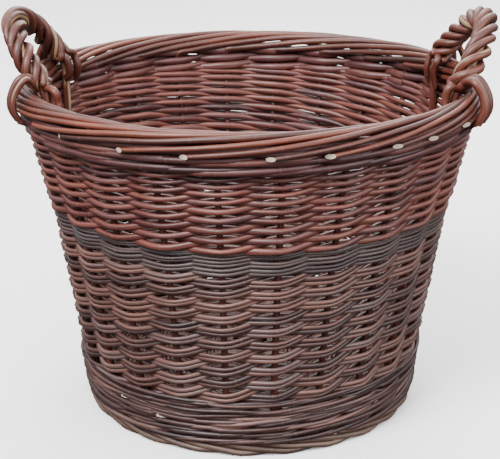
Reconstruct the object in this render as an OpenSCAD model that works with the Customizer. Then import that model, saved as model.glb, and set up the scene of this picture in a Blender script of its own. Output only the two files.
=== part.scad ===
// Round willow log basket: a woven base on a low foot, randed sides between two bands of waling,
// a rolled border made from the ends of the stakes, and two upright twisted handles.
// The origin is at the centre of the foot, on the floor. +Z is up and the handles stand at +X and -X.

/* [Overall size] */
// Outside diameter over the border
rim_d = 500; // [480:5:600]
// Height from the floor to the top of the border
wall_h = 360; // [300:5:440]
// Outside diameter of the foot, and of the wall at the floor
foot_d = 364; // [310:2:400]
// Outside diameter of the wall at the top of the lower siding, where it starts to flare
flare_d = 432; // [400:2:470]

/* [Stakes] */
// Number of stakes in the wall
stake_count = 24; // [20:2:28]
// Diameter of a stake in the wall
stake_d = 8; // [6.5:0.5:9.6]
// Length of stake butt pushed into the base, inside the wall
butt_len = 42; // [30:1:55]
// Diameter of a stake's tip, where it lies in the border
tip_d = 6.6; // [5.5:0.1:6.8]

/* [Weave] */
// Diameter of the rods woven on each side of the stakes
weaver_d = 5; // [4:0.5:6]
// Height of the upsett waling
upsett_h = 26; // [22:1:31]
// Height of the band of rod tips between the two sidings
tips_h = 24; // [20:1:29]
// Height of the upper siding
upper_h = 78; // [65:1:94]
// Height of the waling under the border
top_wale_h = 21; // [18:1:26]

/* [Border] */
// How many stake gaps each border rod lies over
border_gaps = 3.5; // [2.9:0.1:4.2]
// How far a border rod falls from its stake to its cut end
border_drop = 17.6; // [16:0.2:21]
// How far a border rod moves outwards from its stake to its cut end
border_out = 17.3; // [16:0.1:20]

/* [Base and foot] */
// Height of the middle of the base above the floor
base_z = 34; // [30:1:40]
// Thickness of the base weave
base_t = 16; // [15:0.5:19]
// Diameter of the three pierced base sticks
pierced_d = 13; // [11.5:0.5:14]
// Diameter of the three sticks that pass through them
through_d = 8; // [6.5:0.5:9]
// Diameter of a foot rod
foot_rod_d = 6.8; // [6.2:0.1:7.4]
// How many stake gaps each foot rod lies over
foot_gaps = 3.2; // [2.7:0.1:3.8]
// How much the foot rods are worn flat underneath
foot_wear = 1.2; // [1:0.1:1.4]

/* [Handles] */
// Height of the handles above the border
handle_h = 70; // [58:1:84]
// How far the top of a handle leans out from its feet
handle_lean = 32; // [26:1:38]
// Diameter of the handle bow
bow_d = 11; // [9.5:0.5:12]
// Diameter of the rods twisted round the bow
wrap_d = 6.6; // [5.5:0.1:7.4]
// Number of rods twisted round each bow
wrap_count = 4; // [3:1:5]
// Full turns that each rod makes round its bow
wrap_turns = 5; // [4:0.5:6]

/* [Hidden] */
node = "all";
fit = 0.2;                       // clearance round anything that passes through the weave
lay = 0.3;                       // gap between one band of weave and the next
channel_past = 6;                // how far a channel runs on past the rod's own ends
round_fn = 48;
side_seam = 90;                  // a cylinder's seam on its side, clear of the wall's faces
stake_step = 360 / stake_count;
first_stake = stake_step / 2;

// Wall: the stakes run up the middle of the weave
weave_t = stake_d + 2 * weaver_d;
border_h = border_drop + tip_d + 1;
border_z = wall_h - border_h;
border_end_r = rim_d / 2 - tip_d / 2;
border_start_r = border_end_r - border_out;
border_start_z = wall_h - tip_d / 2;
border_lip = 5;                  // how far the border stands out past the wall under it
upsett_z = base_z + stake_d / 2 + 1;
lower_z = upsett_z + upsett_h;
top_wale_z = border_z - top_wale_h;
upper_z = top_wale_z - upper_h;
tips_z = upper_z - tips_h;
flare_z = tips_z;

// Each stake is drawn in behind its neighbour's tip before it turns over into the border
neck_in = 5.5;
neck_down = 9.8;
knuckle = 1.025;                 // how much thicker a rod is where it is kinked, as a ratio

// Base
pierced_gap = pierced_d + 0.5;   // spacing of the three sticks in each group
slath_half = 34;                 // the sticks run straight this far out, then fan
slath_hole_r = 40;
base_r = wall_r(base_z) - weave_t - lay;
stick_reach = base_r - 3;
stick_fan = 30;
stick_past = 5;                  // how far a stick's straight part runs on past the start of its fan
stick_thin = 0.93;               // how thick a stick's fanned ends are, as a share of its middle

// Foot: its pegs stand beside the stakes
foot_peg_turn = 4;
foot_peg_top = base_z + 20;
foot_peg_in = 4;                 // how far inside the stakes' line a peg enters the upsett
foot_out = 10;
foot_rise = 23;
foot_neck_in = 8;
foot_end_r = foot_d / 2 - foot_rod_d / 2;
foot_start_r = foot_end_r - foot_out;
foot_start_z = foot_rod_d / 2 - foot_wear;

// Handles: each leg runs down the inside of the border, beside a stake
leg_in = border_start_r - (tip_d + bow_d) / 2 - 0.4;
leg_beside = 2.7;                // degrees between a leg and its stake
leg_turn = first_stake + stake_step - leg_beside;
leg_depth = 100;                 // how far a leg goes down into the weave
leg_d = bow_d - 2;               // a leg is shaved where it goes down beside its stake
rope_r = bow_d / 2 + wrap_d + 0.1;
arch_foot = [leg_in * cos(leg_turn), leg_in * sin(leg_turn), border_start_z];
arch_rise = handle_h + tip_d / 2 - rope_r;
arch_tilt = atan(handle_lean / arch_rise);
arch_sag = norm([handle_lean, arch_rise]);
arch_r = (pow(arch_foot.y, 2) + pow(arch_sag, 2)) / (2 * arch_sag);
arch_half = acos((arch_r - arch_sag) / arch_r);
wrap_half = arch_half - 13;      // the twist stops clear of the border
wrap_step = 36;                  // degrees of twist from one ring of a wrap's mesh to the next
wrap_sides = 6;

STAKES = [for (i = [1 : stake_count]) str("stake_", i < 10 ? "0" : "", i)];
STICKS = ["pierced_stick_1", "pierced_stick_2", "pierced_stick_3",
          "through_stick_1", "through_stick_2", "through_stick_3"];
BANDS = ["upsett_wale", "lower_siding", "tips_band", "upper_siding", "top_wale"];
BOWS = ["right_handle_bow", "left_handle_bow"];
RIGHT_WRAPS = [for (i = [1 : wrap_count]) str("right_handle_rod_", i)];
LEFT_WRAPS = [for (i = [1 : wrap_count]) str("left_handle_rod_", i)];
NODES = concat(STICKS, ["base_weave", "foot_border"], STAKES, BANDS, BOWS, RIGHT_WRAPS, LEFT_WRAPS);

function top_r() = rim_d / 2 - border_lip;

// Outside radius of the wall at height z
function wall_r(z) = z < flare_z
    ? foot_d / 2 + (flare_d - foot_d) / 2 * z / flare_z
    : flare_d / 2 + (top_r() - flare_d / 2) * (z - flare_z) / (border_z - flare_z);

// Radius of the stakes' centre line at height z
function stake_r(z) = wall_r(z) - weave_t / 2;

module straight_rod(a, b, d, seam = 0) {
    v = b - a;
    translate(a)
        rotate([0, acos(v.z / norm(v)), atan2(v.y, v.x)])
            rotate([0, 0, seam]) cylinder(d = d, h = norm(v), $fn = round_fn);
}

module kink(place, d) {
    translate(place) sphere(d = d * knuckle, $fn = round_fn);
}

// A rod along a few straight runs, a little thicker where it is kinked
module bent_rod(points, d) {
    for (i = [1 : len(points) - 1]) {
        straight_rod(points[i - 1], points[i], d);
        if (i < len(points) - 1) kink(points[i], d);
    }
}

// One rod of a rolled border: a tilted arc from azimuth 0 at r0, z0, clockwise to about r1, z1
module rolled_rod(r0, z0, r1, z1, span, d) {
    arc_r = (r0 + r1) / 2;
    tilt = asin((z0 - z1) / (2 * arc_r * sin(span / 2)));
    near = arc_r * cos(span / 2);
    side = arc_r * sin(span / 2) * cos(tilt);
    start_side = sqrt(pow(r0, 2) - pow(near, 2));
    rotate([0, 0, -atan2(start_side, near)])
        translate([0, start_side - side, (z0 + z1) / 2])
            rotate([tilt, 0, 0])
                rotate([0, 0, -span / 2])
                    rotate_extrude(angle = span, $fn = 96)
                        translate([arc_r, 0]) circle(d = d, $fn = round_fn);
}

// The points that a stake at azimuth 0 runs through, from its butt to the start of the border
stake_points = [
    [stake_r(base_z) - butt_len, 0, base_z],
    [stake_r(base_z), 0, base_z],
    [stake_r(flare_z), 0, flare_z],
    [stake_r(top_wale_z), 0, top_wale_z]
];
neck_points = [
    [stake_r(top_wale_z), 0, top_wale_z],
    [border_start_r - neck_in, 0, border_start_z - neck_down],
    [border_start_r, 0, border_start_z]
];

module stake(i) {
    color("sienna")
        rotate([0, 0, first_stake + i * stake_step]) {
            bent_rod(stake_points, stake_d);
            kink(neck_points[0], stake_d);
            bent_rod(neck_points, tip_d);
            kink(neck_points[2], tip_d);
            rolled_rod(border_start_r, border_start_z, border_end_r, border_start_z - border_drop,
                       border_gaps * stake_step, tip_d);
        }
}

// The points that a foot rod's peg at azimuth 0 runs through, from the border up into the upsett
foot_peg_points = [
    [foot_start_r, 0, foot_start_z],
    [foot_start_r - foot_neck_in, 0, foot_start_z + neck_down],
    [stake_r(base_z) - foot_peg_in, 0, base_z - base_t / 2 - 1],
    [stake_r(foot_peg_top), 0, foot_peg_top]
];

module foot_border() {
    color("rosybrown")
        difference() {
            at_each_stake()
                rotate([0, 0, foot_peg_turn]) {
                    bent_rod(foot_peg_points, foot_rod_d);
                    kink([foot_start_r, 0, foot_start_z], foot_rod_d);
                    rolled_rod(foot_start_r, foot_start_z, foot_end_r, foot_start_z + foot_rise,
                               foot_gaps * stake_step, foot_rod_d);
                }
            translate([-foot_d, -foot_d, -foot_d]) cube([2 * foot_d, 2 * foot_d, foot_d]);
        }
}

module at_each_stake() {
    for (i = [0 : stake_count - 1])
        rotate([0, 0, first_stake + i * stake_step]) children();
}

// A closed band of the wall between two heights
module band(z0, z1) {
    difference() {
        rotate_extrude($fn = 192)
            polygon([
                [wall_r(z0), z0],
                [wall_r(z1), z1],
                [wall_r(z1) - weave_t, z1],
                [wall_r(z0) - weave_t, z0]
            ]);
        children();
    }
}

// The channel for a straight rod from a to b, run on past both ends
module channel(a, b, d) {
    past = channel_past * (b - a) / norm(b - a);
    straight_rod(a - past, b + past, d + 2 * fit, side_seam);
}

module stake_channels(a, b) {
    at_each_stake() channel(a, b, stake_d);
}

module leg_channels() {
    for (side = [0, 180])
        rotate([0, 0, side])
            for (end = [1, -1]) handle_leg(end, fit);
}

module upsett_wale() {
    color("dimgray")
        band(upsett_z, lower_z - lay) {
            at_each_stake() {
                channel(stake_points[1], stake_points[2], stake_d);
                rotate([0, 0, foot_peg_turn])
                    straight_rod(foot_peg_points[2], foot_peg_points[3], foot_rod_d + 2 * fit);
            }
        }
}

module lower_siding() {
    color("slategray") band(lower_z, tips_z - lay) stake_channels(stake_points[1], stake_points[2]);
}

module tips_band() {
    color("darkgray") band(tips_z, upper_z - lay) stake_channels(stake_points[2], stake_points[3]);
}

module upper_siding() {
    color("brown")
        band(upper_z, top_wale_z - lay) {
            stake_channels(stake_points[2], stake_points[3]);
            leg_channels();
        }
}

module top_wale() {
    color("purple")
        band(top_wale_z, border_z) {
            at_each_stake() {
                kink(neck_points[0], stake_d + 2 * fit);
                channel(neck_points[0], neck_points[1], tip_d);
            }
            leg_channels();
        }
}

// The two points of a base stick's fanned end at +X. Its place in its group is 0, 1 or 2.
function fan_points(place) = [
    [slath_half, (place - 1) * pierced_gap, base_z],
    [stick_reach * cos((place - 1) * stick_fan), stick_reach * sin((place - 1) * stick_fan), base_z]
];

module fanned_end(place, d) {
    points = fan_points(place);
    straight_rod(points[0], points[1], d);
}

// A base stick along X, straight in the middle, with thinner fanned ends
module base_stick(place, d) {
    kinked = fan_points(place)[0];
    straight_rod([-kinked.x - stick_past, kinked.y, base_z], [kinked.x + stick_past, kinked.y, base_z], d);
    fanned_end(place, d * stick_thin);
    rotate([0, 0, 180]) fanned_end(2 - place, d * stick_thin);
}

module pierced_stick(i) {
    color("peru")
        difference() {
            base_stick(i, pierced_d);
            slot = 2 * pierced_gap + through_d + 2 * fit;
            translate([-slot / 2, -slath_half, base_z - through_d / 2 - fit])
                cube([slot, 2 * slath_half, through_d + 2 * fit]);
        }
}

module through_stick(i) {
    color("burlywood") rotate([0, 0, 90]) base_stick(i, through_d);
}

module base_weave() {
    color("tan")
        difference() {
            translate([0, 0, base_z - base_t / 2]) cylinder(r = base_r, h = base_t, $fn = 192);
            translate([0, 0, base_z - base_t]) cylinder(r = slath_hole_r, h = 2 * base_t, $fn = 96);
            for (i = [0 : 2], end = [0, 180]) {
                rotate([0, 0, end]) fanned_end(i, pierced_d + 2 * fit);
                rotate([0, 0, end + 90]) fanned_end(i, through_d + 2 * fit);
            }
            at_each_stake() straight_rod(stake_points[0], stake_points[1], stake_d + 2 * fit);
        }
}

// The leg of the handle at +X, at the end of its arch that has this sign of Y
module handle_leg(end, grow) {
    z = border_start_z - leg_depth;
    foot = [stake_r(z) * cos(leg_turn), end * stake_r(z) * sin(leg_turn), z];
    straight_rod(foot, [arch_foot.x, end * arch_foot.y, arch_foot.z], leg_d + 2 * grow, side_seam);
}

module handle_place() {
    translate([arch_foot.x, 0, arch_foot.z]) rotate([0, arch_tilt, 0]) children();
}

module handle_bow(side) {
    color("saddlebrown")
        rotate([0, 0, side]) {
            for (end = [1, -1]) {
                handle_leg(end, 0);
                kink([arch_foot.x, end * arch_foot.y, arch_foot.z], bow_d);
            }
            handle_place()
                translate([0, 0, arch_sag - arch_r])
                    rotate([0, -90, 0])
                        rotate([0, 0, -arch_half])
                            rotate_extrude(angle = 2 * arch_half, $fn = 96)
                                translate([arch_r, 0]) circle(d = bow_d, $fn = round_fn);
        }
}

// A point of the twist, in the arch's own plane: along is the angle round the arch and twist the
// angle round the bow, both from the top of the arch
function out_of_bow(along, twist) =
    [sin(twist), sin(along) * cos(twist), cos(along) * cos(twist)];
function twist_point(along, twist, r) =
    [0, arch_r * sin(along), arch_sag - arch_r + arch_r * cos(along)] + r * out_of_bow(along, twist);

module handle_rod(side, i) {
    r = bow_d / 2 + wrap_d / 2 + 0.1;
    rings = ceil(wrap_turns * 360 / wrap_step);
    function along(k) = wrap_half * (2 * k / rings - 1);
    function twist(k) = 360 * (wrap_turns * k / rings + i / wrap_count);
    function place(k) = twist_point(along(k), twist(k), r);
    function run(k) = let (v = place(k + 0.01) - place(k - 0.01)) v / norm(v);
    points = [for (k = [0 : rings], s = [0 : wrap_sides - 1])
        let (out = out_of_bow(along(k), twist(k)), across = cross(run(k), out), a = 360 * s / wrap_sides)
        place(k) + wrap_d / 2 * (cos(a) * out + sin(a) * across)];
    sides = [for (k = [0 : rings - 1], s = [0 : wrap_sides - 1], half = [0, 1])
        let (a = k * wrap_sides, b = a + wrap_sides, t = (s + 1) % wrap_sides)
        half == 0 ? [a + s, b + s, b + t] : [a + s, b + t, a + t]];
    first = [for (s = [0 : wrap_sides - 1]) s];
    last = [for (s = [wrap_sides - 1 : -1 : 0]) rings * wrap_sides + s];
    color("chocolate")
        rotate([0, 0, side]) handle_place() polyhedron(points, concat(sides, [first, last]));
}

function shown(name) = node == "all" || node == name;

for (i = [0 : 2]) if (shown(STICKS[i])) pierced_stick(i);
for (i = [0 : 2]) if (shown(STICKS[3 + i])) through_stick(i);
if (shown("base_weave")) base_weave();
if (shown("foot_border")) foot_border();
for (i = [0 : stake_count - 1]) if (shown(STAKES[i])) stake(i);
if (shown("upsett_wale")) upsett_wale();
if (shown("lower_siding")) lower_siding();
if (shown("tips_band")) tips_band();
if (shown("upper_siding")) upper_siding();
if (shown("top_wale")) top_wale();
for (i = [0, 1]) if (shown(BOWS[i])) handle_bow(180 * i);
for (i = [0 : wrap_count - 1]) if (shown(RIGHT_WRAPS[i])) handle_rod(0, i);
for (i = [0 : wrap_count - 1]) if (shown(LEFT_WRAPS[i])) handle_rod(180, i);
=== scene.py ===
"""The look of a round willow log basket: every rod of its weave, laid round the CAD frame."""

import math
import random

import bpy
import numpy as np
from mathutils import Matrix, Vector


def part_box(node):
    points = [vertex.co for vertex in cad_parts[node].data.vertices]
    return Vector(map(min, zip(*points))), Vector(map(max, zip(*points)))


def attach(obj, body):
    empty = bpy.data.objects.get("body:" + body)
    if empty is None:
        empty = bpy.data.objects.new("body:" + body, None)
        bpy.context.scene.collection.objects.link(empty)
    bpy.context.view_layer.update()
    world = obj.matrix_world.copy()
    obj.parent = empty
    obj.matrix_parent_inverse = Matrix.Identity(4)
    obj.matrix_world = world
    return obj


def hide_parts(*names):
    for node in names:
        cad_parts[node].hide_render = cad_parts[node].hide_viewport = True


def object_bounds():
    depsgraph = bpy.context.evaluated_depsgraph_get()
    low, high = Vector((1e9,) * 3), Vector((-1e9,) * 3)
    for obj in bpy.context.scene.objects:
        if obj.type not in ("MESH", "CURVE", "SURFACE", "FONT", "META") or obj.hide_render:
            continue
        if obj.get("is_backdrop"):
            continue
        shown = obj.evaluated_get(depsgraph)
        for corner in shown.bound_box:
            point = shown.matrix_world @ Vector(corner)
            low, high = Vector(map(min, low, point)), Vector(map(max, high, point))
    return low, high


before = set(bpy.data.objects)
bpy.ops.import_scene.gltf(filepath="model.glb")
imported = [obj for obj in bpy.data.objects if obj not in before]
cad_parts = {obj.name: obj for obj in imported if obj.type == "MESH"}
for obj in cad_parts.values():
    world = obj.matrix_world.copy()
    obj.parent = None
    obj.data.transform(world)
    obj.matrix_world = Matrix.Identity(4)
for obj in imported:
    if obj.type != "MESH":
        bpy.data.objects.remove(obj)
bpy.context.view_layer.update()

MM = 0.001
RNG = random.Random(24)

# The frame's own sizes
STAKES = sorted(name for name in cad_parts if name.startswith("stake_"))
STAKE_STEP = 2 * math.pi / len(STAKES)
FIRST_STAKE = STAKE_STEP / 2
BANDS = ["upsett_wale", "lower_siding", "tips_band", "upper_siding", "top_wale"]
BAND_Z = {band: (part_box(band)[0].z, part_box(band)[1].z) for band in BANDS}
FOOT_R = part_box("foot_border")[1].x
WALL_Z = [0.0] + [BAND_Z[band][1] for band in BANDS]
WALL_R = [FOOT_R] + [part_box(band)[1].x for band in BANDS]
BASE_LOW, BASE_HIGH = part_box("base_weave")
BASE_Z = (BASE_LOW.z + BASE_HIGH.z) / 2
BASE_R = BASE_HIGH.x
RIM_Z = max(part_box(name)[1].z for name in STAKES)
RIM_R = max(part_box(name)[1].x for name in STAKES)

# Rods
SAMPLES_PER_GAP = 7  # points on a woven rod between one stake and the next
HALF_WEAVE = 9 * MM  # from the stakes' line to the wall's outer face
STAKE_LOW_R = 3.7 * MM
STAKE_TOP_R = 3.2 * MM
SQUEEZE = 0.4  # how much taller a rod is squeezed where it passes behind a stake
BORDER_ROD_R = 3.5 * MM
BORDER_TIP_R = 2.4 * MM
BORDER_GAPS = 7.4  # over the border's inside, its top and its outside
BORDER_HALF_W = 10.7 * MM
BORDER_RISE = 14.2 * MM
BORDER_ROLL = math.radians(200), math.radians(-22)  # from inside, over the top, to outside
BUTT = 42 * MM  # how far a stake's butt runs in beside its base stick
NECK_IN = 4 * MM
NECK_DOWN = 7 * MM
FOOT_ROD_R = 3.5 * MM
FOOT_GAPS = 2.8
FOOT_ROW = 6.6 * MM  # how far one foot rod lies above the next on the outside
FOOT_TURN = math.radians(4)
FOOT_IN = 10 * MM  # how far in from the foot's edge its rods start
PEG_UP = 20 * MM  # how far a foot rod's peg goes up past the base


def wall_r(z):
    """The radius of the wall's outer face at a height."""
    return np.interp(z, WALL_Z, WALL_R)


def stake_line(z):
    return wall_r(z) - HALF_WEAVE


def around(azimuth, r, z):
    """Points from cylindrical coordinates."""
    return np.stack([r * np.cos(azimuth), r * np.sin(azimuth), z + 0 * azimuth], axis=-1)


def smooth(t):
    t = np.clip(t, 0, 1)
    return t * t * (3 - 2 * t)


def curve_through(points, per_span):
    """A smooth curve through a few points."""
    points = np.asarray(points, float)
    ends = [2 * points[0] - points[1]], [2 * points[-1] - points[-2]]
    p = np.concatenate([ends[0], points, ends[1]])
    t = np.linspace(0, 1, per_span, endpoint=False)[:, None]
    out = []
    for a, b, c, d in zip(p[:-3], p[1:-2], p[2:-1], p[3:]):
        out.append(b + 0.5 * t * (c - a + t * (2 * a - 5 * b + 4 * c - d + t * (3 * (b - c) + d - a))))
    return np.concatenate(out + [points[-1:]])


def wobble(x, size, waves=0.9):
    """A slow random wander along x, the same for a given state of RNG."""
    phases = [RNG.uniform(0, 2 * math.pi) for _ in range(3)]
    return size * sum(np.sin(waves * (k + 1) * x + phase) / (k + 1) for k, phase in enumerate(phases))


class Bundle:
    """Rods gathered into one mesh, with a tone for each rod and a mark on its cut ends."""

    def __init__(self, sides=8):
        self.sides = sides
        self.points = []
        self.tones = []
        self.seeds = []
        self.cuts = []
        self.faces = []
        self.uvs = []

    def frames(self, points):
        """At each point the rod's direction and two more at right angles, carried on without twist."""
        run = np.gradient(points, axis=0)
        run /= np.linalg.norm(run, axis=1)[:, None]
        aside = [0.31, 0.17, 0.93]  # no rod sets out this way
        across = np.cross(run[0], aside)
        acrosses = []
        for direction in run:
            across = across - direction * across.dot(direction)
            across = across / math.sqrt(across.dot(across))
            acrosses.append(across)
        acrosses = np.array(acrosses)
        return run, acrosses, np.cross(run, acrosses)

    def add(self, points, radii, tone, slants=(0.8, 0.8), caps=(True, True), tall=1.0):
        """One rod along some points.

        slants say how far its cut ends are drawn out, in radii, caps which ends are closed, and tall
        how much higher than wide its section is.
        """
        count, sides = len(points), self.sides
        radii = np.broadcast_to(radii, count)
        run, across, other = self.frames(points)
        turn = np.arange(sides) * 2 * math.pi / sides
        out = (
            np.cos(turn)[None, :, None] * across[:, None, :]
            + np.sin(turn)[None, :, None] * other[:, None, :]
        )
        out[:, :, 2] *= np.broadcast_to(tall, count)[:, None]
        rings = points[:, None, :] + radii[:, None, None] * out
        outward = points * [1, 1, 0] / np.linalg.norm(points[:, :2], axis=1)[:, None]
        for end, sign in ((0, -1), (-1, 1)):
            lean = (out[end] @ outward[end]) * radii[end] * slants[end] * -sign
            rings[end] += lean[:, None] * run[end]
        base = sum(len(p) for p in self.points)
        self.points.append(rings.reshape(-1, 3))
        seed = RNG.random()
        tone = np.broadcast_to(tone, count)
        self.tones.append(np.repeat(tone, sides))
        self.seeds.append(np.full(count * sides, seed))
        self.cuts.append(np.zeros(count * sides))
        steps = np.linalg.norm(np.diff(points, axis=0), axis=1)
        length = np.concatenate([[0], np.cumsum(steps)])
        i = np.repeat(np.arange(count - 1), sides)
        j = np.tile(np.arange(sides), count - 1)
        a, b = base + i * sides, base + (i + 1) * sides
        k = (j + 1) % sides
        self.faces += np.stack([a + j, a + k, b + k, b + j], axis=-1).tolist()
        low, high = length[i], length[i + 1]
        left, right = j / sides, (j + 1) / sides
        self.uvs.append(
            np.stack([low, left, low, right, high, right, high, left], axis=-1).reshape(-1, 2)
        )
        for end, used in ((0, caps[0]), (-1, caps[1])):
            if used:
                first = sum(len(p) for p in self.points)
                self.points.append(rings[end])
                self.tones.append(np.full(sides, tone[end]))
                self.seeds.append(np.full(sides, seed))
                self.cuts.append(np.ones(sides))
                order = range(sides) if end else range(sides - 1, -1, -1)
                self.faces.append([first + n for n in order])
                flat = np.stack([np.cos(turn), np.sin(turn)], axis=-1) * 0.5 + 0.5
                self.uvs.append(flat if end else flat[::-1])

    def piece(self, name, material, slot, *nodes):
        """The finished mesh, riding on the basket and standing for some CAD nodes."""
        mesh = bpy.data.meshes.new(name)
        mesh.from_pydata(np.concatenate(self.points).tolist(), [], self.faces)
        for label, values in (("tone", self.tones), ("seed", self.seeds), ("cut", self.cuts)):
            attribute = mesh.attributes.new(label, "FLOAT", "POINT")
            attribute.data.foreach_set("value", np.concatenate(values).astype(np.float32))
        layer = mesh.uv_layers.new(name="rod")
        layer.data.foreach_set("uv", np.concatenate(self.uvs).astype(np.float32).ravel())
        mesh.shade_smooth()
        mesh.materials.append(material)
        thing = bpy.data.objects.new(name, mesh)
        bpy.context.scene.collection.objects.link(thing)
        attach(thing, "root")
        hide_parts(*nodes)
        return thing


# Materials


BARK_SHADE = 0.36
BUDS_PER_METRE = 17.0


def linear(red, green, blue):
    """A shader colour from 0 to 255 screen values."""
    def one(value):
        value /= 255
        return value / 12.92 if value <= 0.04045 else ((value + 0.055) / 1.055) ** 2.4
    return (one(red), one(green), one(blue), 1)


def shaded(colour):
    """A bark colour as dark as it is under the studio's bright light."""
    return tuple(BARK_SHADE * value for value in colour[:3]) + (1,)


class Nodes:
    """Short calls for a material's node tree."""

    def __init__(self, name):
        self.material = bpy.data.materials.new(name)
        self.material.use_nodes = True
        self.tree = self.material.node_tree
        self.shader = self.tree.nodes["Principled BSDF"]

    def node(self, kind, **settings):
        made = self.tree.nodes.new(kind)
        for key, value in settings.items():
            setattr(made, key, value)
        return made

    def put(self, source, socket):
        if isinstance(source, bpy.types.NodeSocket):
            self.tree.links.new(source, socket)
        else:
            socket.default_value = source

    def math(self, operation, *values):
        made = self.node("ShaderNodeMath", operation=operation)
        for value, socket in zip(values, made.inputs):
            self.put(value, socket)
        return made.outputs[0]

    def mix(self, factor, a, b, blend="MIX"):
        """Two colours mixed. The node's colour sockets share their names with others, hence numbers."""
        colour_a, colour_b, colour_out = 6, 7, 2
        made = self.node("ShaderNodeMix", data_type="RGBA", blend_type=blend, clamp_factor=True)
        self.put(factor, made.inputs["Factor"])
        self.put(a, made.inputs[colour_a])
        self.put(b, made.inputs[colour_b])
        return made.outputs[colour_out]

    def noise(self, vector, scale, detail=2.0):
        made = self.node("ShaderNodeTexNoise")
        self.put(vector, made.inputs["Vector"])
        made.inputs["Scale"].default_value = scale
        made.inputs["Detail"].default_value = detail
        return made.outputs["Fac"]

    def ramp(self, factor, stops):
        made = self.node("ShaderNodeValToRGB")
        elements = made.color_ramp.elements
        while len(elements) < len(stops):
            elements.new(0.5)
        for element, (place, colour) in zip(elements, stops):
            element.position = place
            element.color = colour
        self.put(factor, made.inputs["Fac"])
        return made.outputs["Color"]

    def between(self, value, low, high):
        """0 below low, 1 above high."""
        made = self.node("ShaderNodeMapRange")
        self.put(value, made.inputs["Value"])
        made.inputs["From Min"].default_value = low
        made.inputs["From Max"].default_value = high
        return made.outputs["Result"]


def willow(name, tones, peeled=0.0):
    """Bark-on willow. tones are its rods' colours from first to last, peeled how much bark is off."""
    n = Nodes(name)
    tone = n.node("ShaderNodeAttribute", attribute_name="tone").outputs["Fac"]
    cut = n.node("ShaderNodeAttribute", attribute_name="cut").outputs["Fac"]
    uv = n.node("ShaderNodeUVMap", uv_map="rod").outputs["UV"]
    parts = n.node("ShaderNodeSeparateXYZ")
    n.put(uv, parts.inputs[0])
    along = parts.outputs["X"]
    seed = n.node("ShaderNodeAttribute", attribute_name="seed").outputs["Fac"]
    shift = n.math("MULTIPLY", seed, 91.0)

    def rod_space(along_scale, across_scale):
        """A place on the rod unrolled, scaled along it (per metre) and round it, and its own place."""
        made = n.node("ShaderNodeCombineXYZ")
        turn = n.math("MULTIPLY", parts.outputs["Y"], 2 * math.pi)
        n.put(n.math("MULTIPLY", along, along_scale), made.inputs[0])
        n.put(n.math("MULTIPLY", n.math("COSINE", turn), across_scale), made.inputs[1])
        n.put(n.math("MULTIPLY_ADD", n.math("SINE", turn), across_scale, shift), made.inputs[2])
        return made.outputs[0]

    # slow drift along each rod, long streaks of bark, and fine grain
    drift = n.noise(rod_space(9.0, 0.25), 1.0)
    streak = n.noise(rod_space(28.0, 1.6), 1.0, 3.0)
    grain = n.noise(rod_space(160.0, 9.0), 1.0, 3.0)
    place = n.math("MULTIPLY_ADD", tone, 0.72, n.math("MULTIPLY_ADD", drift, 0.9, -0.31))
    bark = n.ramp(place, list(zip(np.linspace(0, 1, len(tones)), map(shaded, tones))))
    shade = n.ramp(streak, [(0.28, (0.42, 0.40, 0.42, 1)), (0.72, (1.42, 1.38, 1.36, 1))])
    bark = n.mix(0.85, bark, shade, "MULTIPLY")
    speck = n.ramp(grain, [(0.3, (0.72, 0.70, 0.70, 1)), (0.7, (1.22, 1.20, 1.18, 1))])
    bark = n.mix(0.7, bark, speck, "MULTIPLY")

    # a bud scar every few centimetres
    beat = n.math("FRACT", n.math("MULTIPLY_ADD", along, BUDS_PER_METRE, shift))
    scar = n.between(beat, 0.97, 0.985)
    bark = n.mix(n.math("MULTIPLY", scar, 0.22), bark, shaded(linear(176, 140, 118)))

    if peeled:
        strip = n.noise(rod_space(13.0, 0.55), 1.0, 1.0)
        bare = n.between(strip, 0.66 - 0.12 * peeled, 0.69 - 0.12 * peeled)
        dark_cream, light_cream = shaded(linear(196, 150, 100)), shaded(linear(250, 222, 176))
        cream = n.ramp(grain, [(0.3, dark_cream), (0.7, light_cream)])
        bark = n.mix(bare, bark, cream)

    # its cut ends, and how it shines
    pith = n.ramp(n.noise(uv, 9.0), [(0.35, linear(150, 130, 112)), (0.65, linear(226, 212, 196))])
    n.put(n.mix(cut, bark, pith), n.shader.inputs["Base Color"])
    rough = n.between(streak, -0.9, 2.2)
    n.put(n.math("MULTIPLY_ADD", rough, 0.35, 0.28), n.shader.inputs["Roughness"])
    relief = n.node("ShaderNodeBump")
    relief.inputs["Strength"].default_value = 0.35
    relief.inputs["Distance"].default_value = 0.6 * MM
    height = n.math("MULTIPLY_ADD", grain, 0.6, n.math("MULTIPLY", scar, 0.5))
    n.put(height, relief.inputs["Height"])
    n.put(relief.outputs["Normal"], n.shader.inputs["Normal"])
    return n.material


STICK_WILLOW = willow("base_stick_willow", [linear(120, 88, 58), linear(152, 116, 78)])
FOOT_WILLOW = willow(
    "foot_willow", [linear(82, 60, 54), linear(122, 92, 78), linear(150, 120, 104), linear(112, 84, 78)]
)
STAKE_WILLOW = willow(
    "stake_willow", [linear(62, 38, 34), linear(112, 58, 48), linear(150, 76, 56), linear(184, 106, 80)]
)
GREY_WILLOW = willow(
    "grey_willow",
    [linear(66, 42, 46), linear(112, 74, 68), linear(156, 108, 96), linear(130, 108, 108)],
)
TIP_WILLOW = willow(
    "tip_willow", [linear(66, 50, 58), linear(104, 80, 80), linear(116, 96, 92), linear(104, 92, 100)]
)
RED_WILLOW = willow(
    "red_willow",
    [linear(68, 34, 40), linear(122, 60, 56), linear(166, 94, 80), linear(116, 78, 86)],
)
PURPLE_WILLOW = willow(
    "purple_willow", [linear(72, 38, 46), linear(122, 68, 68), linear(164, 98, 86)]
)
HANDLE_WILLOW = willow(
    "handle_willow", [linear(86, 40, 32), linear(132, 66, 50), linear(168, 98, 76)], peeled=0.3
)


# The wall


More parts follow.
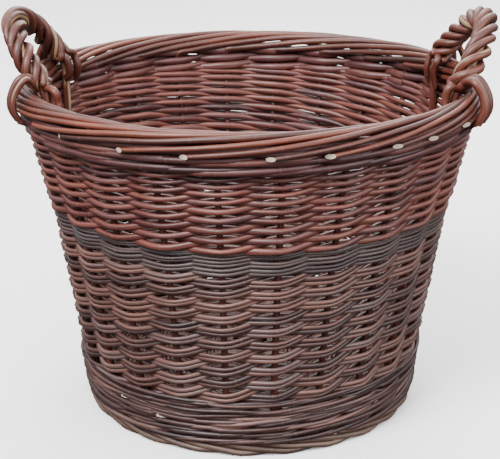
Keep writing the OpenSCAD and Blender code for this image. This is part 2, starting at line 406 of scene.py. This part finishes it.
def french_side(u):
    """Behind the stakes at even u, in front at odd u, from -1 to 1."""
    bend = 0.94  # 1 would be a sharp corner at each stake
    return np.arcsin(-bend * np.cos(math.pi * u)) / math.asin(bend)


def french_rise(u):
    """Rows risen after passing u stakes: level out to the front of one, then up behind the next."""
    level = 0.17  # the share of a row risen on the way out
    return level * u + (1 - 2 * level) * (np.floor(u / 2) + smooth(u % 2 - 1))


class Rows:
    """Whole rows of weave between two heights. The last row's pitch is a share of the first's."""

    def __init__(self, low, high, count, last_share):
        self.low = low
        self.count = count
        self.first = 2 * (high - low) / (count * (1 + last_share))
        self.change = self.first * (last_share - 1) / (2 * count)

    def z(self, row):
        return self.low + self.first * row + self.change * row**2


def rand_rod(bundle, start, rows, thick, tone, lift=0.0, caps=(True, True)):
    """One rod of French rand from stake number start. thick is its radius at the first and last row."""
    last = 2 * rows.count
    u = np.linspace(0, last, last * SAMPLES_PER_GAP + 1)
    radius = (thick[0] + (thick[1] - thick[0]) * u / last) * (1 + wobble(u, 0.035, 1.7))
    away = smooth(u) * smooth(last - u)  # rods meet the bands above and below in line
    z = rows.z(french_rise(u)) + lift * radius + away * wobble(u, 0.4 * MM)
    reach = STAKE_TOP_R + radius * 0.92 + away * wobble(u, 0.35 * MM, 1.3)
    azimuth = FIRST_STAKE + (start + u) * STAKE_STEP
    path = around(azimuth, stake_line(z) + french_side(u) * reach, z)
    tall = 1 + SQUEEZE * (1 - french_side(u)) / 2
    bundle.add(path, radius, tone, caps=caps, tall=tall)


def lower_rows():
    """Pairs of rods that start at every stake, and run on as thin tips in the band above."""
    low, high = BAND_Z["lower_siding"]
    rows = Rows(low + 1 * MM, high, 10, 0.78)
    tip_low, tip_high = BAND_Z["tips_band"]
    tip_rows = Rows(tip_low, tip_high, 3, 0.6)
    groups, per_group = 6, len(STAKES) // 6
    for group in range(groups):
        lower, tips = Bundle(), Bundle()
        for start in range(group * per_group, (group + 1) * per_group):
            shared = RNG.random()
            for side in (-1, 1):
                tone = min(max(shared + RNG.uniform(-0.3, 0.3), 0), 1)
                size = RNG.uniform(0.92, 1.08)
                thick = 2.5 * MM * size, 2.15 * MM * size
                rand_rod(lower, start, rows, thick, tone, side, caps=(True, False))
                thin = 2.1 * MM * size, 1.25 * MM * size
                rand_rod(tips, start + 2 * rows.count, tip_rows, thin, tone, side, caps=(False, True))
        lower.piece(f"lower_rods_{group + 1}", GREY_WILLOW, "grey_willow", "lower_siding")
        tips.piece(f"tip_rods_{group + 1}", TIP_WILLOW, "tip_willow", "tips_band")


def upper_rows():
    """Single darker rods, one starting at every stake."""
    low, high = BAND_Z["upper_siding"]
    rows = Rows(low - 1 * MM, high + 5 * MM, 9, 0.55)
    groups, per_group = 4, len(STAKES) // 4
    for group in range(groups):
        upper = Bundle()
        for start in range(group * per_group, (group + 1) * per_group):
            size = RNG.uniform(0.92, 1.08)
            thick = 3.1 * MM * size, 2.3 * MM * size
            rand_rod(upper, start, rows, thick, RNG.random())
        upper.piece(f"upper_rods_{group + 1}", RED_WILLOW, "red_willow", "upper_siding")


def wale(low, high, rods, rounds, radius, wander, shown, tones):
    """Waling: each rod passes in front of all but one of a few stakes, then behind one.

    wander is how far a rod strays, shown the share of joins that are left in sight, and tones the
    choices for a rod's tone.
    """
    bundle = Bundle()
    pitch = (high - low - 2 * radius) / rounds
    crossing = 0.85  # gaps that a rod takes to pass from the inside to the outside
    for rod in range(rods):
        begin = rod
        end = rod + rounds * len(STAKES)
        while begin < end - 1:
            length = min(RNG.randint(3, 5) * rods, end - begin)
            in_sight = RNG.random() < shown and begin + length < end
            reach = length + (1.6 if in_sight else 0.0)
            s = np.linspace(begin, begin + reach, int(reach * SAMPLES_PER_GAP) + 1)
            phase = (s - rod) % rods
            front = smooth(phase / crossing) * smooth((rods - phase) / crossing)
            z = low + radius + pitch * (s - rod) / len(STAKES)
            z = z + (smooth(phase / rods) - 0.5) * front * pitch * 0.62 + wobble(s, wander, 1.4)
            z = np.maximum(z, low + radius)
            thick = radius * RNG.uniform(0.9, 1.1) * np.linspace(1.0, 0.9, len(s))
            swing = (2 * front - 1) * (STAKE_LOW_R + thick) + wobble(s, wander)
            azimuth = FIRST_STAKE + s * STAKE_STEP
            path = around(azimuth, stake_line(z) + swing, z)
            tone = RNG.choice(tones) + RNG.uniform(-0.1, 0.1)
            slants = 0.8, 3.5 if in_sight else 0.8
            bundle.add(path, thick, tone, slants, tall=1 + SQUEEZE * (1 - front))
            begin += length
    return bundle


def border_path():
    """The border end of the stake at azimuth 0, from the inner top to its cut end."""
    t = np.linspace(0, 1, 29)
    roll = BORDER_ROLL[0] + t * (BORDER_ROLL[1] - BORDER_ROLL[0])
    middle_r = RIM_R - BORDER_TIP_R - BORDER_HALF_W
    middle_z = RIM_Z - BORDER_ROD_R - BORDER_RISE
    azimuth = -t * BORDER_GAPS * STAKE_STEP
    return azimuth, middle_r + BORDER_HALF_W * np.cos(roll), middle_z + BORDER_RISE * np.sin(roll)


def stakes():
    """Every stake, from its butt in the base to its cut end in the border."""
    turn, border_r, border_z = border_path()
    neck_z = BAND_Z["top_wale"][1]
    upright_z = BASE_Z + 9 * MM  # a stake has turned up from the base by here
    wall = np.linspace(upright_z, BAND_Z["top_wale"][0], 9)
    low_r = stake_line(BASE_Z)
    for k, name in enumerate(STAKES):
        at = FIRST_STAKE + k * STAKE_STEP
        reach = RNG.uniform(0.97, 1.06)
        r = np.concatenate([
            [low_r - BUTT, low_r - 25 * MM, low_r - 9 * MM, low_r - 1.5 * MM],
            stake_line(wall) + [RNG.uniform(-0.5, 0.5) * MM for _ in wall],
            [stake_line(neck_z) - NECK_IN],
            border_r + wobble(turn, 0.5 * MM, 6.0),
        ])
        z = np.concatenate([
            [BASE_Z, BASE_Z, BASE_Z, BASE_Z + 3 * MM],
            wall,
            [neck_z - NECK_DOWN],
            border_z + wobble(turn, 0.4 * MM, 6.0),
        ])
        azimuth = np.concatenate([np.full(len(r) - len(turn), at), at + turn * reach])
        path = curve_through(around(azimuth, r, z), 4)
        share = np.linspace(0, 1, len(path))
        radius = np.interp(
            share, [0, 0.3, 0.42, 1], [STAKE_LOW_R, STAKE_TOP_R, BORDER_ROD_R, BORDER_TIP_R]
        )
        wall_tone, border_tone = RNG.uniform(0.1, 0.45), RNG.uniform(0.15, 0.85)
        tone = wall_tone + (border_tone - wall_tone) * smooth((share - 0.32) / 0.3)
        rod = Bundle(10)
        rod.add(path, radius * RNG.uniform(0.95, 1.05), tone, slants=(0.5, 2.0))
        rod.piece(f"stake_rod_{k + 1:02d}", STAKE_WILLOW, "stake_willow", name)


# The base and the foot


def base():
    """Three thick sticks with three more passed through them, and rods paired round their ends."""
    stick_names = sorted(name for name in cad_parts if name.endswith(("_1", "_2", "_3"))
                         and "stick" in name)
    straight, fan = 34 * MM, math.radians(30)
    gap = 13.5 * MM  # between the three sticks that lie side by side
    reach = BASE_R - 4 * MM
    for name in stick_names:
        low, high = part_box(name)
        along_x = high.x - low.x > high.y - low.y
        radius = (high.z - low.z) / 2
        place = int(name[-1]) - 2
        half = [[0, place * gap], [straight, place * gap],
                [reach * math.cos(place * fan), reach * math.sin(place * fan)]]
        far = [[-x, y] for x, y in half[:0:-1]]
        points = [(x, y, BASE_Z) if along_x else (-y, x, BASE_Z) for x, y in far + half]
        stick = Bundle(12)
        stick.add(curve_through(points, 8), radius, RNG.random(), slants=(0.3, 0.3))
        stick.piece(f"{name}_rod", STICK_WILLOW, "base_stick_willow", name)
    weave = Bundle(6)
    rod_r = 2.1 * MM
    inner, outer = 33 * MM, BASE_R + 4 * MM
    turns = (outer - inner) / (2.05 * rod_r)
    samples_per_turn = 48
    phi = np.linspace(0, turns * 2 * math.pi, int(turns * samples_per_turn))
    depth = (BASE_HIGH.z - BASE_LOW.z) / 2 - rod_r
    pieces = 9
    for side in (-1, 1):
        over_under = np.cos(len(stick_names) * phi)
        z = BASE_Z + side * depth * over_under * (1.15 - 0.15 * over_under**2)
        r = inner + (outer - inner) * phi / phi[-1]
        cuts = np.linspace(0, len(phi) - 1, pieces + 1).astype(int)
        for a, b in zip(cuts[:-1], cuts[1:]):
            weave.add(around(phi[a:b + 1], r[a:b + 1], z[a:b + 1]), rod_r, RNG.random())
    weave.piece("base_weave_rods", GREY_WILLOW, "grey_willow", "base_weave")


def foot():
    """The foot's rods: a peg up into the upsett, then round the foot to a cut end."""
    t = np.linspace(0, 1, 18)
    end_r = FOOT_R - FOOT_ROD_R
    groups, per_group = 2, len(STAKES) // 2
    for group in range(groups):
        bundle = Bundle(10)
        for k in range(group * per_group, (group + 1) * per_group):
            at = FIRST_STAKE + k * STAKE_STEP + FOOT_TURN
            gaps = t * FOOT_GAPS
            r = end_r - FOOT_IN * (1 - np.sin(np.minimum(gaps, 1) * math.pi / 2))
            z = FOOT_ROD_R + FOOT_ROW * np.maximum(gaps - 1, 0)
            peg_r = [stake_line(BASE_Z + PEG_UP), stake_line(BASE_Z) - 4 * MM, r[0] - 7 * MM]
            peg_z = [BASE_Z + PEG_UP, BASE_Z - 9 * MM, 11 * MM]
            turn = -t * FOOT_GAPS * STAKE_STEP * RNG.uniform(0.97, 1.05)
            r = np.concatenate([peg_r, r + wobble(t, 0.4 * MM, 5.0)])
            z = np.concatenate([peg_z, z + np.abs(wobble(t, 0.4 * MM, 5.0))])
            azimuth = np.concatenate([[at, at, at + 0.02], at + turn])
            path = curve_through(around(azimuth, r, z), 4)
            radius = np.linspace(1.0, 0.85, len(path)) * FOOT_ROD_R * RNG.uniform(0.93, 1.04)
            path[:, 2] = np.maximum(path[:, 2], radius)
            bundle.add(path, radius, RNG.random(), slants=(0.5, 2.4))
        bundle.piece(f"foot_rods_{group + 1}", FOOT_WILLOW, "foot_willow", "foot_border")


# The handles


HANDLE_OUT = 7 * MM  # how far each handle's top and outer strands stand out past the CAD bow
HANDLE_LEAN = 32 * MM + HANDLE_OUT
BOW_R = 5.5 * MM
WRAP_R = 4.5 * MM
WRAP_TURNS = 2.9
WRAP_CLEAR = 0.10  # radians of the arch, at each end, that the twist leaves free


class Arch:
    """The line of a handle's bow, from its CAD box."""

    def __init__(self, node, sign):
        low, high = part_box(node)
        self.sign = sign
        self.low_z = low.z
        top_x = max(abs(low.x), abs(high.x)) - BOW_R + HANDLE_OUT
        top_z = high.z - BOW_R
        self.foot_x = top_x - HANDLE_LEAN
        self.foot_y = high.y - BOW_R
        self.foot_z = RIM_Z - 3.3 * MM
        rise = top_z - self.foot_z
        self.tilt = math.atan2(HANDLE_LEAN, rise)
        sag = math.hypot(HANDLE_LEAN, rise)
        self.r = (self.foot_y**2 + sag**2) / (2 * sag)
        self.half = math.acos((self.r - sag) / self.r)
        self.centre = sag - self.r

    def place(self, along, out=0.0, side=0.0):
        """A point at an angle along the arch, out from its line in its plane and sideways from it."""
        reach = self.r + out
        up = self.centre + reach * np.cos(along)
        x = self.foot_x + up * math.sin(self.tilt) + side * math.cos(self.tilt)
        y = reach * np.sin(along)
        z = self.foot_z + up * math.cos(self.tilt) - side * math.sin(self.tilt)
        return np.stack([self.sign * x, self.sign * y, z], axis=-1)


def handle(side, sign):
    """One handle: its bow, whose legs go down into the weave, and the rods twisted round it."""
    arch = Arch(f"{side}_handle_bow", sign)
    bow = Bundle(10)
    a = np.linspace(-arch.half, arch.half, 41)
    line = arch.place(a)
    leg_z = np.linspace(arch.low_z + 6 * MM, arch.foot_z - 12 * MM, 5)
    leg_azimuth = math.atan2(arch.foot_y, arch.foot_x)
    foot_r = math.hypot(arch.foot_x, arch.foot_y)
    leg_r = np.minimum(stake_line(leg_z), foot_r)
    turn = 0.0 if sign > 0 else math.pi
    legs = [around(np.full(len(leg_z), turn + end * leg_azimuth), leg_r, leg_z) for end in (-1, 1)]
    path = np.concatenate([legs[0], line[1:-1], legs[1][::-1]])
    bow.add(curve_through(path, 3), BOW_R * 0.8, RNG.random())
    bow.piece(f"{side}_bow_rod", HANDLE_WILLOW, "handle_willow", f"{side}_handle_bow")

    strands = sorted(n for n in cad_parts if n.startswith(f"{side}_handle_rod_"))
    for k, name in enumerate(strands):
        reach = arch.half - WRAP_CLEAR
        s = np.linspace(0, 1, 110)
        along = reach * (2 * s - 1)
        lay = WRAP_TURNS * s + 0.10 * np.sin(2 * math.pi * s) + 0.03 * np.sin(9 * s + 2 * k)
        twist = 2 * math.pi * (lay + k / len(strands))
        lift = BOW_R + WRAP_R - 1.2 * MM + 0.7 * MM * np.sin(5 * s * math.pi + 2 * k)
        path = arch.place(along, lift * np.cos(twist), lift * np.sin(twist))
        tails = []
        for end in (-1, 1):
            at = turn + end * (leg_azimuth + math.radians(RNG.uniform(-3.5, 4.5)))
            outside = (k + (end > 0)) % 2 == 0
            spread = end * math.radians(1.2 * k)
            if outside:
                r = np.array([RIM_R - 8 * MM, RIM_R + 4 * MM, RIM_R + 7 * MM, RIM_R - 1 * MM])
                z = RIM_Z + np.array([15 * MM, 2 * MM, -14 * MM, -30 * MM])
            else:
                r = foot_r - np.array([3 * MM, 7 * MM, 6 * MM, 2 * MM])
                z = RIM_Z + np.array([3 * MM, -9 * MM, -18 * MM, -26 * MM * RNG.uniform(0.8, 1.2)])
            tail = around(np.full(4, at + spread) + np.linspace(0, 0.02, 4) * end, r, z)
            tails.append(tail[::-1] if end < 0 else tail)
        spine = np.concatenate([tails[0], path[::3], path[-1:], tails[1]])
        path = curve_through(spine, 5)
        size = RNG.uniform(0.9, 1.1)
        taper = np.interp(np.linspace(0, 1, len(path)), [0.1, 0.8, 1], [1, 0.92, 0.75])
        radius = WRAP_R * size * taper
        strand = Bundle(10)
        strand.add(path, radius, RNG.random(), slants=(1.4, 1.4))
        strand.piece(f"{side}_handle_strand_{k + 1}", HANDLE_WILLOW, "handle_willow", name)


base()
foot()
low, high = BAND_Z["upsett_wale"]
upsett = wale(low - 1 * MM, high + 1 * MM, 4, 3, 2.4 * MM, 1.3 * MM, 0.4, (0.0, 0.1, 1.0))
upsett.piece("upsett_rods", GREY_WILLOW, "grey_willow", "upsett_wale")
lowest = wale(9 * MM, low + 6 * MM, 3, 4, 2.8 * MM, 0.8 * MM, 0.3, (0.0, 0.1, 0.9))
lowest.piece("foot_wale_rods", GREY_WILLOW, "grey_willow", "foot_border")
lower_rows()
upper_rows()
low, high = BAND_Z["top_wale"]
top = wale(low - 1 * MM, high + 13 * MM, 3, 3, 3.5 * MM, 0.4 * MM, 0.0, (0.2, 0.5, 0.8))
top.piece("top_wale_rods", PURPLE_WILLOW, "purple_willow", "top_wale")
stakes()
handle("right", 1)
handle("left", -1)


# Floor, light and camera


def floor():
    """A plain pale floor, with its top at the foot."""
    mesh = bpy.data.meshes.new("floor")
    size = 30
    mesh.from_pydata(
        [(-size, -size, 0), (size, -size, 0), (size, size, 0), (-size, size, 0)], [], [[0, 1, 2, 3]]
    )
    thing = bpy.data.objects.new("floor", mesh)
    thing.visible_diffuse = False  # so that the weave's undersides stay dark
    thing.visible_glossy = False
    bpy.context.scene.collection.objects.link(thing)
    n = Nodes("pale_floor")
    n.shader.inputs["Base Color"].default_value = (0.97, 0.97, 0.97, 1)
    n.shader.inputs["Roughness"].default_value = 0.9
    mesh.materials.append(n.material)
    thing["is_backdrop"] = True


def lamp(name, place, target, size, power):
    """A square soft light that looks at a target."""
    data = bpy.data.lights.new(name, "AREA")
    data.size = size
    data.energy = power
    thing = bpy.data.objects.new(name, data)
    bpy.context.scene.collection.objects.link(thing)
    thing.location = place
    from_to = np.array(target) - np.array(place)
    flat = math.hypot(from_to[0], from_to[1])
    thing.rotation_euler = (
        math.atan2(flat, -from_to[2]), 0, math.atan2(from_to[1], from_to[0]) - math.pi / 2
    )


def studio():
    """An even white sky over a dark lower half, and three soft lamps."""
    world = bpy.data.worlds.new("studio")
    bpy.context.scene.world = world
    world.use_nodes = True
    tree = world.node_tree
    background = tree.nodes["Background"]
    background.inputs["Strength"].default_value = 2.1
    direction = tree.nodes.new("ShaderNodeTexCoord")
    parts = tree.nodes.new("ShaderNodeSeparateXYZ")
    ramp = tree.nodes.new("ShaderNodeValToRGB")
    low, high = ramp.color_ramp.elements
    low.position, low.color = 0.0, (0.10, 0.09, 0.09, 1)
    high.position, high.color = 0.35, (1, 1, 1, 1)
    tree.links.new(direction.outputs["Generated"], parts.inputs[0])
    tree.links.new(parts.outputs["Z"], ramp.inputs["Fac"])
    tree.links.new(ramp.outputs["Color"], background.inputs["Color"])
    lamp("key", (-1.1, -1.6, 2.4), (0, 0, 0.2), 1.2, 170)
    lamp("fill", (1.7, -1.4, 1.3), (0, 0, 0.2), 2.0, 42)
    lamp("back", (0.4, 1.8, 2.2), (0, 0, 0.25), 1.6, 70)


def camera():
    """In front of the basket and looking down, at the photograph's angle."""
    data = bpy.data.cameras.new("camera")
    data.lens = 94.75
    data.sensor_width = 36
    thing = bpy.data.objects.new("camera", data)
    bpy.context.scene.collection.objects.link(thing)
    thing.location = (0, -1.379, 0.672)
    thing.rotation_euler = (math.radians(70.46), 0, 0)
    bpy.context.scene.camera = thing


floor()
studio()
camera()

low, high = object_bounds()
